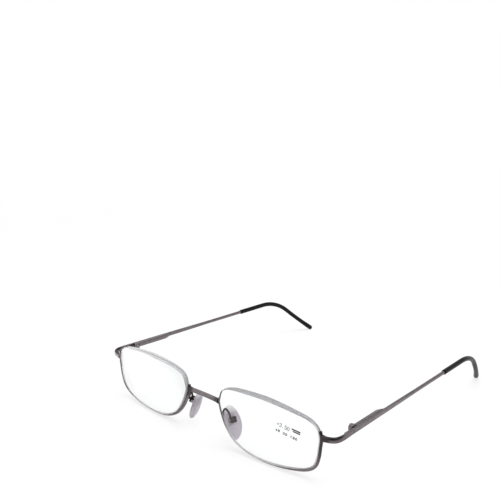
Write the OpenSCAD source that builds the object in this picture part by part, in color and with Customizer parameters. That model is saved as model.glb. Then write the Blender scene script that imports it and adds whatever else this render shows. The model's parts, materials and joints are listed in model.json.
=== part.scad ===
// Half eye reading glasses: metal rims under the lenses, a nylon cord over their bare top edges,
// screw-on nose pads, and temples on spring hinges. Millimetres.
// Each piece is drawn for the wearer's left side (+X), front towards -Y, and mirrored for the right.

/* [Lenses] */
// Width of one lens
lens_w = 49.4; // [46:0.2:53]
// Height of one lens
lens_h = 26.7; // [25:0.2:30]
// Distance between the two lenses
lens_gap = 19.6; // [18:0.2:22]
// Thickness of a lens at its optical centre
lens_t = 4.1; // [4:0.1:4.8]
// Radius of the front face
front_r = 100; // [96:1:106]
// Radius of the back face
back_r = 330; // [300:5:380]
// Distance of the optical centre from the middle of the lens, towards the nose
optic_shift = 3; // [0:0.5:3]
// Width of the groove in the edge
groove_w = 0.7; // [0.6:0.05:0.9]
// Depth of the groove in the edge
groove_depth = 0.5; // [0.4:0.05:0.6]
// How far each lens turns back at the temple, in degrees
wrap = 2.9; // [2:0.1:6]
// How far the lower edge leans back, in degrees
lean = 1.9; // [0:0.1:4]

/* [Rims] */
// Thickness of the rim wire, away from the lens
rim_t = 1; // [0.9:0.05:1.3]
// Depth of the rim wire, front to back
rim_d = 1.5; // [1.4:0.05:2]
// Width of the channel inside the rim
channel_w = 0.7; // [0.6:0.05:0.9]
// Depth of the channel inside the rim
channel_depth = 0.45; // [0.35:0.05:0.55]
// Bevel along the rim's corners
rim_bevel = 0.28; // [0.2:0.02:0.34]
// Thickness of the cord over the lens
cord_d = 0.55; // [0.45:0.05:0.6]

/* [Bridge] */
// Height of the bridge bar
bridge_h = 1.9; // [1.7:0.1:2.4]
// Depth of the bridge bar
bridge_d = 1.6; // [1.3:0.1:2]
// Rise of the bridge in its middle
bridge_rise = 0.2; // [0:0.1:2]

/* [Nose pads] */
// Length of a pad
pad_len = 14; // [12:0.5:15]
// Width of a pad
pad_w = 8.8; // [7.5:0.1:9.2]
// Thickness of a pad
pad_t = 2.3; // [2:0.1:3]
// Distance from the middle of the frame to the pad's screw
pad_x = 13.2; // [12.6:0.1:13.8]
// Distance of the pad's screw behind the frame
pad_y = 6.5; // [6.2:0.1:8]
// Distance of the pad's screw below the temples
pad_drop = 9.3; // [9:0.1:10.2]
// Turn of the pads, wider apart at the back, in degrees
pad_splay = 22; // [18:1:30]
// Turn of the pads, wider apart at the bottom, in degrees
pad_flare = 18; // [12:1:20]
// Lean of the pads, bottom further back, in degrees
pad_lean = 4; // [0:1:10]
// Thickness of the pad arm's wire
arm_d = 0.9; // [0.8:0.05:1.1]

/* [Hinges] */
// Distance between the two hinge screws
hinge_span = 127.7; // [126:0.1:131]
// Distance of the hinge screws behind the lenses
hinge_y = 16.4; // [16:0.2:18]
// Radius of the hinge's barrel
barrel_r = 1.1; // [1:0.05:1.2]
// Height of the hinge's barrel
barrel_h = 2.9; // [2.7:0.1:3.3]
// Radius of the hinge screw
screw_r = 0.45; // [0.4:0.01:0.5]
// Height of the end piece
end_h = 2.2; // [2:0.1:2.5]
// Thickness of the end piece where it leaves the rim
end_t = 1.7; // [1.5:0.1:2]
// Length of the spring case
case_len = 20.3; // [18:0.1:24]
// Height of the spring case
case_h = 2; // [1.9:0.1:2.4]

/* [Temples] */
// Length from the hinge screw to the start of the bend
temple_len = 88.6; // [84:0.1:98]
// Radius of the bend behind the ear
bend_r = 27; // [20:0.5:32]
// Angle of the bend behind the ear, in degrees
bend_angle = 42; // [34:1:46]
// Length behind the bend
ear_len = 22; // [20:0.1:28]
// Turn of the temple towards the head, in degrees
splay = 2.6; // [1:0.1:4]
// Turn of the bent end towards the head, in degrees
tuck = 13.4; // [8:0.2:18]
// How far the end of the temple curves on towards the head
ear_curl = 2; // [0:0.1:3]
// Height of the temple bar at the hinge
bar_h = 2.1; // [1.9:0.1:2.4]
// Thickness of the temple bar at the hinge
bar_t = 1.1; // [1:0.05:1.3]
// Thickness of the temple wire
wire_d = 1.6; // [1.4:0.05:1.7]
// Thickness of the tip cover
tip_d = 2.3; // [2.2:0.05:2.5]
// Thickness of the tip cover's round end
bulb_d = 2.6; // [2.5:0.1:3]
// Length of straight cover before the bend
tip_lead = 17.7; // [14:0.1:24]

/* [Hidden] */

// Clearances and overruns
seat_gap = 0.02;    // between pieces brazed or pressed face to face
slip_gap = 0.05;    // between pieces that slide or turn on each other
cut_over = 1;       // how far a cut runs past the face it opens

// Colours
metal_colour = [0.42, 0.38, 0.39];
dark_metal_colour = [0.25, 0.22, 0.23];
steel_colour = [0.7, 0.7, 0.72];
lens_colour = [0.85, 0.9, 0.93, 0.4];
cord_colour = [0.86, 0.87, 0.88];
pad_colour = [0.78, 0.74, 0.78, 0.8];
tip_colour = [0.12, 0.11, 0.13];

// Lens outline, as shares of half the width and half the height: it starts at the rim's outer end and
// runs over the top to the rim's end at the nose, then down and along the bottom
outline_shares = [
    [0.979, 0.492], [0.907, 0.671], [0.778, 0.793], [0.588, 0.868], [0.302, 0.953], [0, 1.003],
    [-0.305, 0.993], [-0.616, 0.943], [-0.824, 0.846], [-0.937, 0.71], [-0.992, 0.419], [-0.997, 0.265],
    [-0.942, -0.03], [-0.867, -0.309], [-0.772, -0.541], [-0.658, -0.728], [-0.474, -0.889],
    [-0.248, -0.975], [0, -0.993], [0.246, -0.968], [0.493, -0.905], [0.74, -0.8], [0.896, -0.62],
    [0.961, -0.315], [0.987, 0], [1.002, 0.264]
];
outline_steps = 3;      // points worked out for each point of the list
rim_first = 10;         // place in the list where the rim starts, at the nose

// Lens places
lens_x = (lens_w + lens_gap) / 2;
lens_drop = 5;                                  // middle of a lens below the temples
mid_r = 2 / (1 / front_r + 1 / back_r);         // radius of the surface that the groove follows

// Rim, liner and cord
liner_w = 0.6;
liner_in = groove_depth - slip_gap;
liner_out = channel_depth - slip_gap;
rim_seat = 0.05;                                // gap between the lens edge and the rim
cord_sides = 6;
cord_in = groove_depth - slip_gap - cord_d / 2; // how far the cord's middle lies inside the edge

// Bridge and end piece
bridge_at = rim_first + 0.8;                    // places of the bridge and the end piece in the outline's list
end_at = len(outline_shares) - 0.8;
bridge_rings = 9;
bar_sides = 12;
bridge_square = 3;                              // how square the sections are; 2 is round
end_square = 3.2;
end_rings = 12;
end_first_reach = 7.2;                          // how strongly the end piece leaves the rim sideways
end_last_reach = 6.8;
end_tip_t = 1.2;                                // thickness of the end piece at the hinge
end_dip = 0.1;                                  // how far the end piece dips on its way

// Hinge, about its screw: x outwards, y along the temple
hinge_z = 0;
eye_h = 1;                                      // height of the plunger's eye
knuckle_h = (barrel_h - eye_h) / 2 - slip_gap;
split_y = -2.7;                                 // where the end piece stops
split_gap = 0.25;
bar_x = 1.75;                                   // middle of the temple bar
leaf_t = 0.9;
leaf_len = 2.9;                                 // how far the leaf's plate reaches along the end piece
leaf_h = 1.4;
leaf_low = 0.5;                                 // how far the plate lies below the middle of the hinge
web_t = 0.6;                                    // thickness of the web that joins the two knuckles
web_in = 0.6;                                   // how far the web reaches inwards of the screw
head_r = 0.8;
head_h = 0.4;
slot_w = 0.22;
slot_depth = 0.18;
case_y = 1.35;                                  // front face of the spring case
case_in = 0.45;                                 // how far the case reaches inwards of the screw
case_taper = 4.5;
case_end_r = 0.5;
case_wall = 1.2;                                // length of the case's front wall
shank_x = 0.33;
shank_r = 0.34;
chamber_r = 0.58;
spring_len = 6;
spring_turns = 7;
spring_wire_r = 0.09;
spring_r = 0.46;
spring_sides = 5;
turn_rings = 10;
flex_travel = 1.2;                              // how far the temple pulls out against its spring
nut_len = 1;
nut_r = 0.52;
shank_start = 0.62;
shank_end = case_y + case_wall + spring_len + flex_travel + nut_len + slip_gap * 4;

// Temple
bar_taper_start = 24;
bar_taper_end = 46;
bar_square = 5;                                 // how square the bar's section is; 2 is round
bend_rings = 8;
ear_rings = 4;
tip_wall_end = 5;                               // how far the wire stops before the end of the cover
tip_lip = 0.5;
bulb_len = 5;

// Nose pad, about its screw: x away from the nose, y backwards, z up
box_w = 2.6;
box_h = 2.2;
box_front = 0.6;
box_back = 1.5;
box_slot = 1.2;
box_wall_x = 0.9;
tab_t = box_slot - slip_gap * 2;
tab_r = 0.8;
pad_back = 1;
pad_low_share = 0.62;                           // share of the pad's length below its screw
pad_pear_share = 0.16;                          // how much wider the pad is at its bottom
pad_sides = 24;
pad_layer_shares = [[0, 0.84], [0.1, 0.95], [0.35, 1], [0.62, 0.94], [0.82, 0.78], [0.94, 0.5], [1, 0.18]];
core_w = 3;
core_h = 4.6;
core_t = 0.7;
neck_h = 1.2;
pad_screw_r = 0.4;
pad_screw_head_r = 0.65;
pad_screw_head_h = 0.3;
arm_reach = 2;                                  // how strongly the arm leaves the rim backwards, and upwards
arm_lift = 5.9;
arm_end_reach = 0.4;                            // how straight it comes down on the box
arm_rings = 15;
arm_sides = 8;
arm_share = 12.3;                               // place of the arm's root in the outline's list

// Vector helpers
function unit(v) = v / norm(v);
function blend(a, b, t) = a + (b - a) * t;

// Point on a curve that passes through b and c, between them
function passing(a, b, c, d, t) =
    (2 * b + (c - a) * t + (2 * a - 5 * b + 4 * c - d) * t * t + (3 * b - a - 3 * c + d) * t * t * t) / 2;

// Cubic curve with two end points and two handles, and its direction
function curve(p, t) = p[0] * pow(1 - t, 3) + p[1] * 3 * t * pow(1 - t, 2) + p[2] * 3 * t * t * (1 - t)
    + p[3] * pow(t, 3);
function curve_way(p, t) = unit((p[1] - p[0]) * pow(1 - t, 2) + (p[2] - p[1]) * 2 * t * (1 - t)
    + (p[3] - p[2]) * t * t);

// Lens outline in millimetres at any place of its list, and all of its points
function share_at(i) = outline_shares[(i + len(outline_shares)) % len(outline_shares)];
function outline_at(s) = let (i = floor(s), q = passing(share_at(i - 1), share_at(i), share_at(i + 1),
    share_at(i + 2), s - i)) [q[0] * lens_w / 2, q[1] * lens_h / 2];
function outline_way(s) = unit(outline_at(s + 0.5 / outline_steps) - outline_at(s - 0.5 / outline_steps));
function outline_out(s) = let (w = outline_way(s)) [w[1], -w[0]];
function outline_points(grow) = [for (k = [0 : len(outline_shares) * outline_steps - 1])
    let (s = k / outline_steps) outline_at(s) + outline_out(s) * grow];

// How far the groove's surface lies behind the middle of the lens
function sag(p) = mid_r - sqrt(mid_r * mid_r - p[0] * p[0] - p[1] * p[1]);

// A point at the edge of the lens: out from the edge, and back from the groove
function edge_point(s, out, back) = let (p = outline_at(s), q = p + outline_out(s) * out)
    [q[0], sag(p) + back, q[1]];

// From the lens's own frame to the frame of the glasses
function turn_x(p, a) = [p[0], p[1] * cos(a) - p[2] * sin(a), p[1] * sin(a) + p[2] * cos(a)];
function turn_y(p, a) = [p[0] * cos(a) + p[2] * sin(a), p[1], p[2] * cos(a) - p[0] * sin(a)];
function turn_z(p, a) = [p[0] * cos(a) - p[1] * sin(a), p[0] * sin(a) + p[1] * cos(a), p[2]];
function from_lens(p) = turn_x(turn_z(p, wrap), lean) + [lens_x, 0, -lens_drop];
function lens_way_out(s) = let (o = outline_out(s)) turn_x(turn_z([o[0], 0, o[1]], wrap), lean);
module at_lens() translate([lens_x, 0, -lens_drop]) rotate([lean, 0, 0]) rotate([0, 0, wrap]) children();

// From the hinge's frame, and from the nose pad's frame
hinge_place = [hinge_span / 2, hinge_y, hinge_z];
function from_hinge(p) = turn_z(p, splay) + hinge_place;
module at_hinge() translate(hinge_place) rotate([0, 0, splay]) children();
pad_place = [pad_x, pad_y, -pad_drop];
function turn_pad(p) = turn_z(turn_y(turn_x(p, pad_lean), -pad_flare), -pad_splay);
module at_pad() translate(pad_place) rotate([pad_lean, -pad_flare, -pad_splay]) children();

// Temple path in the hinge's frame: straight, bent down and inwards, then curling on towards the head
bend_down = unit([-sin(tuck), 0, -cos(tuck)]);
bend_side = [-cos(tuck), 0, sin(tuck)];
function temple_way(a) = [0, cos(a), 0] + bend_down * sin(a);
function bend_point(a) = [bar_x, temple_len, 0] + [0, bend_r * sin(a), 0] + bend_down * bend_r * (1 - cos(a));
function ear_point(d) = bend_point(bend_angle) + temple_way(bend_angle) * d
    + bend_side * ear_curl * pow(d / ear_len, 2);
function ear_way(d) = unit(temple_way(bend_angle) + bend_side * ear_curl * 2 * d / pow(ear_len, 2));
function ear_side(d) = let (way = ear_way(d)) unit(bend_side - way * (bend_side * way));
tip_start = temple_len - tip_lead;

// Rest on a table: the rims' bottoms and the tips' round ends touch it
rim_lows = [for (k = [rim_first * outline_steps : len(outline_shares) * outline_steps])
    for (b = [-rim_d / 2, rim_d / 2]) from_lens(edge_point(k / outline_steps, rim_seat + rim_t, b))];
rim_low = min([for (p = rim_lows) p[2]]);
rim_low_y = [for (p = rim_lows) if (p[2] == rim_low) p[1]][0];
tip_end = from_hinge(ear_point(ear_len - bulb_d / 2));
tilt = atan((rim_low - tip_end[2] + bulb_d / 2) / (tip_end[1] - rim_low_y));
lift = -min(min([for (p = rim_lows) turn_x(p, tilt)[2]]), turn_x(tip_end, tilt)[2] - bulb_d / 2);
front_y = from_lens([-optic_shift, -lens_t / 2, 0])[1];
back_y = from_hinge(ear_point(ear_len))[1];
middle_y = (front_y + back_y) / 2 + tip_d / 4;

module left() translate([0, -middle_y, lift]) rotate([tilt, 0, 0]) children();
module right() left() mirror([1, 0, 0]) children();

// Closed surface through rings of points, with flat ends
module skin(rings) {
    n = len(rings[0]);
    last = (len(rings) - 1) * n;
    polyhedron([for (r = rings) each r], concat(
        [[for (j = [0 : n - 1]) n - 1 - j]],
        [for (i = [0 : len(rings) - 2]) for (j = [0 : n - 1]) let (a = i * n + j, b = i * n + (j + 1) % n)
            each [[a, b, b + n], [a, b + n, a + n]]],
        [[for (j = [0 : n - 1]) last + j]]), convexity = 8);
}

// Closed surface of a tube with a blind bore: rings run up the outside and back down the bore
module blind_tube(outer, inner)
    skin(concat([for (i = [0 : len(inner) - 1]) inner[len(inner) - 1 - i]], outer));

// Rounded cross-section, from a round one (2) towards a rectangle (higher)
function signed_power(v, e) = sign(v) * pow(abs(v), e);
function oval(w, h, square, sides) = [for (j = [0 : sides - 1]) let (a = 360 * j / sides)
    [w / 2 * signed_power(cos(a), 2 / square), h / 2 * signed_power(sin(a), 2 / square)]];

// A cross-section set square to a direction, with its first axis along side
function ring(at, way, side, shape) = let (b = cross(unit(way), side)) [for (q = shape) at + side * q[0] + b * q[1]];

// Cross-section carried along the lens edge, from one place of the list to another
function edge_rings(first, last, shape) = [for (k = [first * outline_steps : last * outline_steps])
    [for (q = shape) edge_point(k / outline_steps, q[0], q[1])]];

// Lens with a spherical front and back, and a groove all round
module lens() color(lens_colour) at_lens() difference() {
    intersection() {
        rotate([90, 0, 0]) linear_extrude(front_r, center = true) polygon(outline_points(0));
        translate([-optic_shift, front_r - lens_t / 2, 0]) sphere(front_r, $fn = 360);
    }
    translate([-optic_shift, back_r + lens_t / 2, 0]) sphere(back_r, $fn = 720);
    intersection() {
        rotate([90, 0, 0]) linear_extrude(front_r, center = true) difference() {
            polygon(outline_points(cut_over));
            polygon(outline_points(-groove_depth));
        }
        difference() {
            translate([0, mid_r, 0]) sphere(mid_r + groove_w / 2, $fn = 360);
            translate([0, mid_r, 0]) sphere(mid_r - groove_w / 2, $fn = 360);
        }
    }
}

// Rim wire round the lower part of the lens, open inside for its liner
rim_in = rim_seat;
rim_out = rim_seat + rim_t;
rim_shape = [
    [rim_in + channel_depth, channel_w / 2], [rim_in, channel_w / 2], [rim_in, rim_d / 2 - rim_bevel],
    [rim_in + rim_bevel, rim_d / 2], [rim_out - rim_bevel, rim_d / 2], [rim_out, rim_d / 2 - rim_bevel],
    [rim_out, rim_bevel - rim_d / 2], [rim_out - rim_bevel, -rim_d / 2], [rim_in + rim_bevel, -rim_d / 2],
    [rim_in, rim_bevel - rim_d / 2], [rim_in, -channel_w / 2], [rim_in + channel_depth, -channel_w / 2]
];
module rim() color(metal_colour) at_lens() skin(edge_rings(rim_first, len(outline_shares), rim_shape));

// Liner strip that fills the rim's channel and the lens's groove
module rim_liner() color(cord_colour) at_lens() skin(edge_rings(rim_first + 1, len(outline_shares) - 1, [
    [-liner_in, liner_w / 2], [-liner_in, -liner_w / 2], [liner_out, -liner_w / 2], [liner_out, liner_w / 2]
]));

// Cord over the bare part of the edge, its ends held in the rim's channel
module top_cord() color(cord_colour) at_lens() skin(edge_rings(-1 + 1 / outline_steps,
    rim_first + 1 - 1 / outline_steps, [for (q = oval(cord_d, cord_d, 2, cord_sides)) [q[0] - cord_in, -q[1]]]));

// Bridge bar between the rims
bridge_end = from_lens(edge_point(bridge_at, rim_out + seat_gap, 0));
bridge_way = lens_way_out(bridge_at);
module bridge() color(metal_colour) skin([for (i = [0 : bridge_rings - 1])
    let (t = 2 * i / (bridge_rings - 1) - 1)
    ring([bridge_end[0] * t, bridge_end[1], bridge_end[2] + bridge_rise * (1 - t * t)],
        abs(t) < 1 ? [1, 0, 0] : [-bridge_way[0], 0, -sign(t) * bridge_way[2]], [0, 1, 0],
        oval(bridge_d, bridge_h, bridge_square, bar_sides))]);

// End piece, from the rim round the corner to the hinge
end_start = from_lens(edge_point(end_at, rim_out + seat_gap, 0));
end_stop = from_hinge([bar_x - (bar_t - end_tip_t) / 2, split_y, 0]);
end_curve = [
    end_start,
    [end_start[0] + end_first_reach, end_start[1], -end_dip],
    end_stop + turn_z([0, -end_last_reach, -end_dip / 2], splay),
    end_stop
];
module end_piece() color(dark_metal_colour) difference() {
    skin([for (i = [0 : end_rings - 1]) let (t = i / (end_rings - 1),
        way = i == 0 ? lens_way_out(end_at) : curve_way(end_curve, t))
        ring(curve(end_curve, t), way, unit(cross(way, [0, 0, 1])),
            oval(blend(end_t, end_tip_t, t), end_h, end_square, bar_sides))]);
    at_hinge() leaf_plate(seat_gap);
}

// Plate of the front leaf, let into the end piece
web_back = -barrel_r - slip_gap;
module leaf_plate(gap) translate([barrel_r - leaf_t - gap, split_y - leaf_len - gap, -leaf_low - leaf_h / 2 - gap])
    cube([leaf_t + gap * 2, web_back - split_y + leaf_len + gap * 2, leaf_h + gap * 2]);

// Front leaf: its plate, the web, and the two knuckles round the plunger's eye
module hinge_leaf() color(metal_colour) at_hinge() difference() {
    union() {
        leaf_plate(0);
        translate([-web_in, web_back - web_t, -barrel_h / 2])
            cube([web_in + barrel_r - slip_gap, web_t, barrel_h]);
        for (s = [-1, 1]) translate([0, 0, s * (barrel_h - knuckle_h) / 2]) {
            cylinder(r = barrel_r, h = knuckle_h, center = true, $fn = 48);
            translate([-web_in, web_back - web_t, -knuckle_h / 2])
                cube([web_in + barrel_r - slip_gap, web_t - web_back, knuckle_h]);
        }
    }
    cylinder(r = screw_r + seat_gap, h = barrel_h + cut_over, center = true, $fn = 48);
    translate([0, 0, barrel_h / 2 - head_h]) cylinder(r = head_r + seat_gap, h = head_h + cut_over, $fn = 48);
}

// Hinge screw, put in from above, with a slotted head
module hinge_screw() color(steel_colour) at_hinge() difference() {
    union() {
        translate([0, 0, -barrel_h / 2 + seat_gap]) cylinder(r = screw_r, h = barrel_h - head_h, $fn = 48);
        translate([0, 0, barrel_h / 2 - head_h + seat_gap]) cylinder(r = head_r, h = head_h - seat_gap, $fn = 48);
    }
    translate([0, 0, barrel_h / 2]) cube([head_r * 3, slot_w, slot_depth * 2], center = true);
}

// Plunger: an eye on the hinge screw and a shank into the spring case
module hinge_plunger() color(steel_colour) at_hinge() difference() {
    union() {
        cylinder(r = barrel_r, h = eye_h, center = true, $fn = 48);
        translate([shank_x, shank_start, 0]) rotate([-90, 0, 0])
            cylinder(r = shank_r, h = shank_end - shank_start, $fn = 32);
    }
    cylinder(r = screw_r + slip_gap, h = eye_h + cut_over, center = true, $fn = 48);
}

// Nut pressed on the shank's end
module plunger_nut() color(steel_colour) at_hinge() translate([shank_x, shank_end - nut_len, 0])
    rotate([-90, 0, 0]) difference() {
        cylinder(r = nut_r, h = nut_len, $fn = 32);
        translate([0, 0, -cut_over]) cylinder(r = shank_r + seat_gap, h = nut_len + cut_over * 2, $fn = 32);
    }

// Coil spring round the shank, against the case's front wall
spring_y = case_y + case_wall + spring_wire_r + seat_gap;
module hinge_spring() color(steel_colour) at_hinge() skin([for (i = [0 : spring_turns * turn_rings])
    let (a = 360 * i / turn_rings, climb = (spring_len - spring_wire_r * 2) * i / (spring_turns * turn_rings))
    ring([shank_x + spring_r * cos(a), spring_y + climb, spring_r * sin(a)], [-sin(a), 0, cos(a)], [0, 1, 0],
        oval(spring_wire_r * 2, spring_wire_r * 2, 2, spring_sides))]);

// Spring case on the inner side of the temple bar
case_out = bar_x - bar_t / 2 - seat_gap + case_in;
module spring_case() color(metal_colour) at_hinge() difference() {
    intersection() {
        translate([bar_x - bar_t / 2 - seat_gap, case_y, 0]) rotate([-90, 0, 0]) union() {
            cylinder(r = case_out, h = case_len - case_taper, $fn = 64);
            translate([0, 0, case_len - case_taper])
                cylinder(r1 = case_out, r2 = case_end_r, h = case_taper, $fn = 64);
        }
        translate([-case_in, case_y, -case_h / 2]) cube([case_out, case_len, case_h]);
    }
    translate([shank_x, case_y - cut_over, 0]) rotate([-90, 0, 0])
        cylinder(r = shank_r + slip_gap, h = case_len / 2, $fn = 32);
    translate([shank_x, case_y + case_wall, 0]) rotate([-90, 0, 0])
        cylinder(r = chamber_r, h = shank_end - case_y, $fn = 32);
}

// Temple: a stamped bar that thins to a wire, bent down behind the ear
bar_stations = [split_y + split_gap, case_y, bar_taper_start / 2, bar_taper_start,
    (bar_taper_start + bar_taper_end) / 2, bar_taper_end, tip_start, temple_len];
function bar_share(y) = min(1, max(0, (y - case_y) / (bar_taper_end - case_y)));
function round_share(y) = min(1, max(0, (y - bar_taper_start) / (bar_taper_end - bar_taper_start)));
function bar_section(y) = oval(blend(bar_h, wire_d, bar_share(y)), blend(bar_t, wire_d, round_share(y)),
    blend(bar_square, 2, round_share(y)), bar_sides);
bend_angles = [for (i = [1 : bend_rings]) bend_angle * i / bend_rings];
function wire_rings(first, stop, grow) = concat(
    [for (y = first) ring([bar_x, y, 0], [0, 1, 0], bend_side_at(y), grown(bar_section(y), grow))],
    [for (a = bend_angles) ring(bend_point(a), temple_way(a), bend_side, grown(bar_section(temple_len), grow))],
    [for (i = [1 : ear_rings]) let (d = stop * i / ear_rings)
        ring(ear_point(d), ear_way(d), ear_side(d), grown(bar_section(temple_len), grow))]);
function grown(shape, by) = [for (q = shape) q + unit(q) * by];
function bend_side_at(y) = y < bar_taper_end ? [0, 0, 1] : bend_side;
module temple() color(metal_colour) at_hinge()
    skin(wire_rings(bar_stations, ear_len - tip_wall_end, 0));

// Tip cover, a tube over the bent wire that swells to a round end
module temple_tip() color(tip_colour) at_hinge() {
    round_shape = bar_section(temple_len);
    straight = [tip_start, tip_start + tip_lip, temple_len];
    outer = concat(
        [ring([bar_x, straight[0], 0], [0, 1, 0], bend_side, grown(round_shape, (tip_d - wire_d) / 2 - tip_lip / 4))],
        [for (y = [straight[1], straight[2]])
            ring([bar_x, y, 0], [0, 1, 0], bend_side, grown(round_shape, (tip_d - wire_d) / 2))],
        [for (a = bend_angles) ring(bend_point(a), temple_way(a), bend_side,
            grown(round_shape, (tip_d - wire_d) / 2))],
        [for (i = [1 : ear_rings]) let (d = (ear_len - bulb_len) * i / ear_rings)
            ring(ear_point(d), ear_way(d), ear_side(d), grown(round_shape, (tip_d - wire_d) / 2))],
        [for (i = [0 : 6]) let (a = 15 * i, d = ear_len - bulb_d / 2 + bulb_d / 2 * sin(a))
            ring(ear_point(d), ear_way(d), ear_side(d), oval(bulb_d * max(cos(a), 0.1),
                bulb_d * max(cos(a), 0.1), 2, bar_sides))]);
    inner = wire_rings([tip_start, temple_len], ear_len - tip_wall_end + slip_gap, slip_gap);
    blind_tube(outer, inner);
}

// Pad arm: a wire that lies against the back of the rim, arches over and comes down on the pad's box
arm_root = from_lens(edge_point(arm_share, rim_seat + rim_t / 2, rim_d / 2 + seat_gap + arm_d / 2));
arm_back = turn_x(turn_z([0, 1, 0], wrap), lean);
arm_stop = pad_place + turn_pad([(box_back - box_front) / 2, (arm_d - box_w) / 2, box_h / 2 + seat_gap]);
arm_curve = [arm_root, arm_root + arm_back * arm_reach + [0, 0, arm_lift],
    arm_stop + turn_pad([0, 0, arm_end_reach]), arm_stop];
module pad_arm() color(metal_colour) skin([for (i = [0 : arm_rings - 1]) let (t = i / (arm_rings - 1),
    way = curve_way(arm_curve, t))
    ring(curve(arm_curve, t), way, unit(cross(way, cross([1, 0, 0], way))), oval(arm_d, arm_d, 2, arm_sides))]);

// Box that holds the pad's tab between two ears
module pad_box() color(dark_metal_colour) at_pad() difference() {
    translate([-box_front, -box_w / 2, -box_h / 2]) cube([box_front + box_back, box_w, box_h]);
    translate([-box_front - cut_over, -box_slot / 2, -box_h])
        cube([box_front + cut_over + box_wall_x, box_slot, box_h * 2]);
    rotate([90, 0, 0]) cylinder(r = pad_screw_r + seat_gap, h = box_w * 2, center = true, $fn = 32);
}

// Screw through the box and the tab
module pad_screw() color(steel_colour) at_pad() rotate([90, 0, 0]) {
    translate([0, 0, -box_w / 2]) cylinder(r = pad_screw_r, h = box_w + pad_screw_head_h, $fn = 32);
    translate([0, 0, box_w / 2 + seat_gap]) cylinder(r = pad_screw_head_r, h = pad_screw_head_h, $fn = 32);
}

// Stiff core of the pad: a plate in its back and a tab in the box
module core_plate(gap) translate([-pad_back - core_t - gap, -core_w / 2 - gap, -core_h / 2 - gap])
    cube([core_t + gap + (gap > 0 ? cut_over : 0), core_w + gap * 2, core_h + gap * 2]);
module pad_core() color(cord_colour) at_pad() difference() {
    union() {
        core_plate(0);
        rotate([90, 0, 0]) cylinder(r = tab_r, h = tab_t, center = true, $fn = 32);
        translate([-pad_back - core_t / 2, -tab_t / 2, -neck_h / 2]) cube([pad_back + core_t / 2, tab_t, neck_h]);
    }
    rotate([90, 0, 0]) cylinder(r = pad_screw_r + slip_gap, h = box_w, center = true, $fn = 32);
}

// Soft pad, pear-shaped, crowned towards the nose
module nose_pad() color(pad_colour) at_pad() difference() {
    skin([for (q = pad_layer_shares) [for (j = [0 : pad_sides - 1]) let (a = -360 * j / pad_sides)
        [-pad_back - pad_t * q[0], pad_w / 2 * q[1] * cos(a) * (1 - pad_pear_share * sin(a)),
            pad_len * (q[1] * sin(a) / 2 + 0.5 - pad_low_share)]]]);
    core_plate(seat_gap);
}

left() lens();  // lens_left
right() lens();  // lens_right
left() rim();  // rim_left
right() rim();  // rim_right
left() rim_liner();  // rim_liner_left
right() rim_liner();  // rim_liner_right
left() top_cord();  // top_cord_left
right() top_cord();  // top_cord_right
left() bridge();
left() pad_arm();  // pad_arm_left
right() pad_arm();  // pad_arm_right
left() pad_box();  // pad_box_left
right() pad_box();  // pad_box_right
left() pad_screw();  // pad_screw_left
right() pad_screw();  // pad_screw_right
left() nose_pad();  // nose_pad_left
right() nose_pad();  // nose_pad_right
left() pad_core();  // pad_core_left
right() pad_core();  // pad_core_right
left() end_piece();  // end_piece_left
right() end_piece();  // end_piece_right
left() hinge_leaf();  // hinge_leaf_left
right() hinge_leaf();  // hinge_leaf_right
left() hinge_screw();  // hinge_screw_left
right() hinge_screw();  // hinge_screw_right
left() hinge_plunger();  // hinge_plunger_left
right() hinge_plunger();  // hinge_plunger_right
left() plunger_nut();  // plunger_nut_left
right() plunger_nut();  // plunger_nut_right
left() hinge_spring();  // hinge_spring_left
right() hinge_spring();  // hinge_spring_right
left() spring_case();  // spring_case_left
right() spring_case();  // spring_case_right
left() temple();  // temple_left
right() temple();  // temple_right
left() temple_tip();  // temple_tip_left
right() temple_tip();  // temple_tip_right
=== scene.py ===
# Half eye reading glasses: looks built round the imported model, in metres, in the model's own frame.
# Sizes in the dictionaries are millimetres; toTable turns them into metres at the place where they lie.
import json
import bmesh
import bpy
import numpy as np
from mathutils import Matrix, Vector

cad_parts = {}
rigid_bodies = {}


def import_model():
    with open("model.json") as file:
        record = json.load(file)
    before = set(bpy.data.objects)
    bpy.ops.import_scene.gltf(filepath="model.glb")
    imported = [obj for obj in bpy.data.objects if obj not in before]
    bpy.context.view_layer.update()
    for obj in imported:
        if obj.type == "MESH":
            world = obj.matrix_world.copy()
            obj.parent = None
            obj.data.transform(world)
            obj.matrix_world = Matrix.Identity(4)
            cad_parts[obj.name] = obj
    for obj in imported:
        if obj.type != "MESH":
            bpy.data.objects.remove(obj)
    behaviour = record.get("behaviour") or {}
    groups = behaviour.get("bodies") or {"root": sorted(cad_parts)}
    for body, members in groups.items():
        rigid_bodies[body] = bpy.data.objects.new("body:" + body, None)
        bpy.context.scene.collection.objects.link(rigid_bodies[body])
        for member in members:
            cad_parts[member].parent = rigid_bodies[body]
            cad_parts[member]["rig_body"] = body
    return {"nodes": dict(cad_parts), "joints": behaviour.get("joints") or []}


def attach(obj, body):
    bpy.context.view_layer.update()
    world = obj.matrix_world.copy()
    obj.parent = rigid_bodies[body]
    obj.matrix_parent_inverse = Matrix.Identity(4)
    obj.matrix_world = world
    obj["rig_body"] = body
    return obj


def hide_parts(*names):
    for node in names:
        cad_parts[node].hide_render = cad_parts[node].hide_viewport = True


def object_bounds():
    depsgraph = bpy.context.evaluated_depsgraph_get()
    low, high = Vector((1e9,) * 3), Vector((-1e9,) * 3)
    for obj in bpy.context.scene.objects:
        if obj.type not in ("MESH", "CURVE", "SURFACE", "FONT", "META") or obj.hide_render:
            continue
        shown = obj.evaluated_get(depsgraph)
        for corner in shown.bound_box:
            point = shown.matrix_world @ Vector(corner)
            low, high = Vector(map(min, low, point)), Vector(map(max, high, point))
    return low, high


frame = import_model()
cadBox = [list(corner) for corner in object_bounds()]
print("stage: frame loaded,", len(frame["nodes"]), "nodes")

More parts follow.
